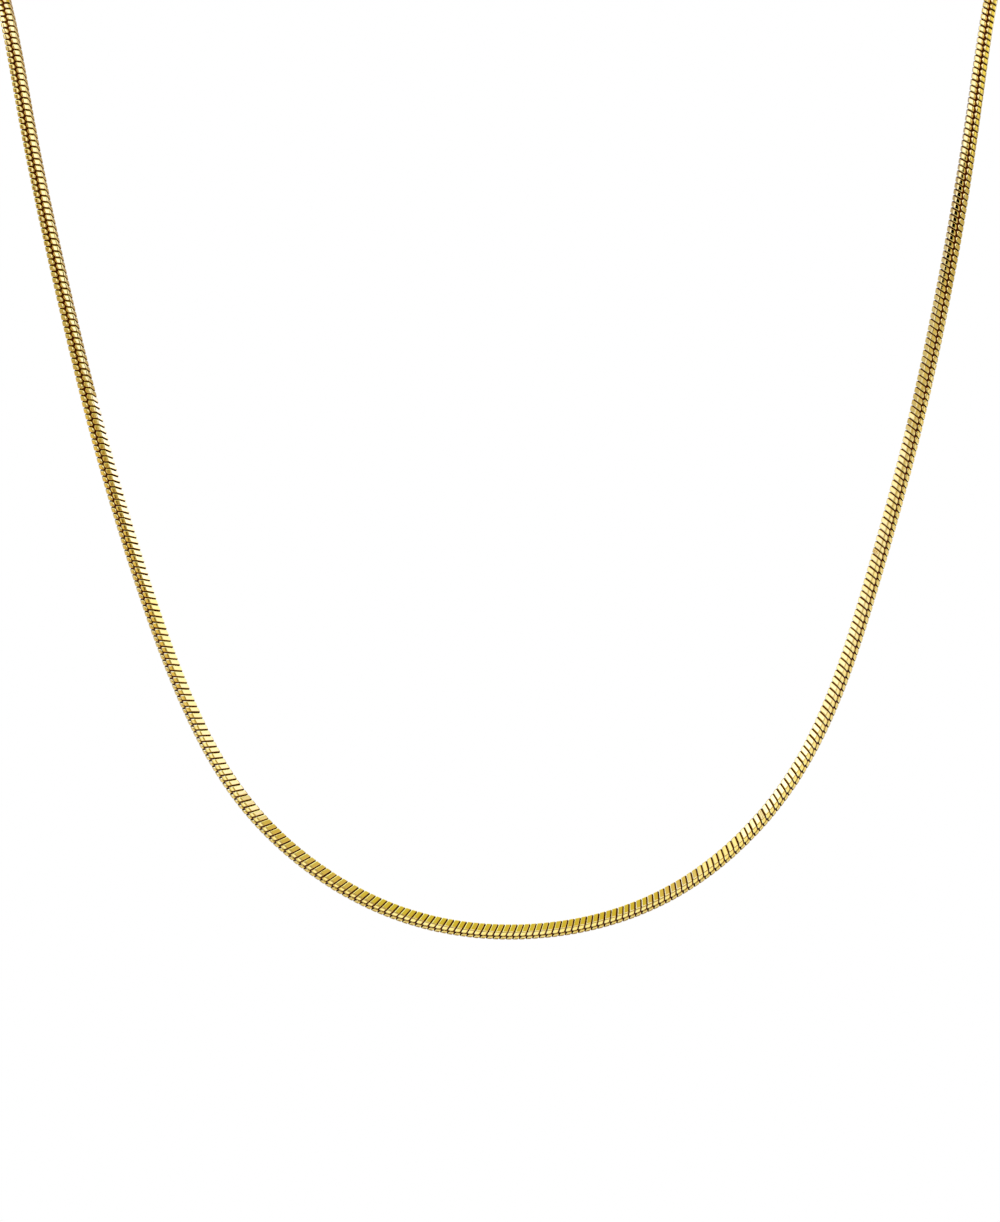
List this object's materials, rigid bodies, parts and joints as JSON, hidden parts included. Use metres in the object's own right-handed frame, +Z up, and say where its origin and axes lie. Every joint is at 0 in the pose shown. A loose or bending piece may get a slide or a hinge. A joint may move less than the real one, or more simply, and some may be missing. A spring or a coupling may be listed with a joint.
{
  "type": "snake chain necklace",
  "caption": "Fine square snake chain necklace in polished yellow gold, hanging in a deep smooth U at the front, with a plain barrel clasp at the nape.",
  "frame": {"origin": "the middle of the clasp, where the necklace rests on the nape", "axes": "+X to the wearer's left, across the neck; +Y from the front to the nape; +Z up"},
  "size_m": [0.1194, 0.0651, 0.1277],
  "materials": {
    "chain_gold": "polished yellow gold plate",
    "clasp_gold": "polished yellow gold plate"
  },
  "bodies": {
    "root": {"chain": "chain_gold", "clasp": "clasp_gold"}
  },
  "joints": []
}
